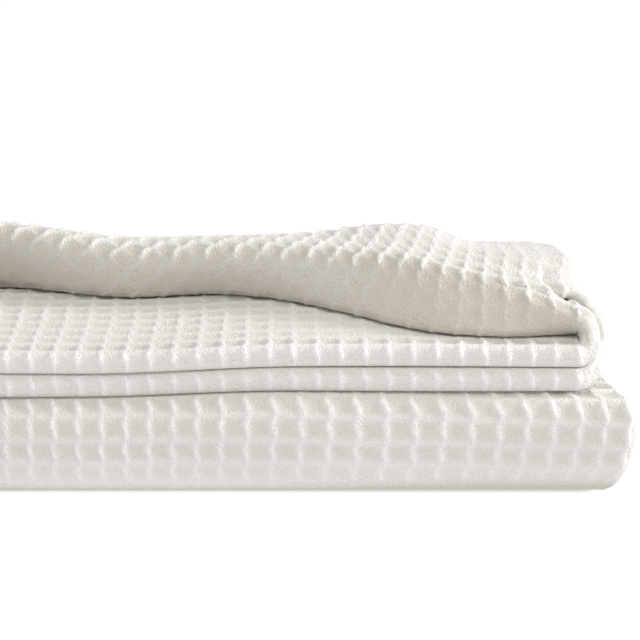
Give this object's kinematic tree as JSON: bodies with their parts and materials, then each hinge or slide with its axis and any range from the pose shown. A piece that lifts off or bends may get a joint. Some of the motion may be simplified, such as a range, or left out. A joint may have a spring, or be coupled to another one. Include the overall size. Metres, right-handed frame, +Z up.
{
  "type": "folded blanket",
  "caption": "Waffle weave cotton blanket folded into a stack, the top layers turned back over a thick folded base in a soft open roll.",
  "frame": {"origin": "middle of the underside, at the bottom centre of the bounding box", "axes": "+X along the stack to the end where the top is turned back, +Y to the back, +Z up"},
  "size_m": [0.4544, 0.1894, 0.111],
  "materials": {
    "ivory_cotton": "matt ivory cotton in a deep waffle weave"
  },
  "bodies": {
    "root": {"blanket": "ivory_cotton"}
  },
  "joints": []
}
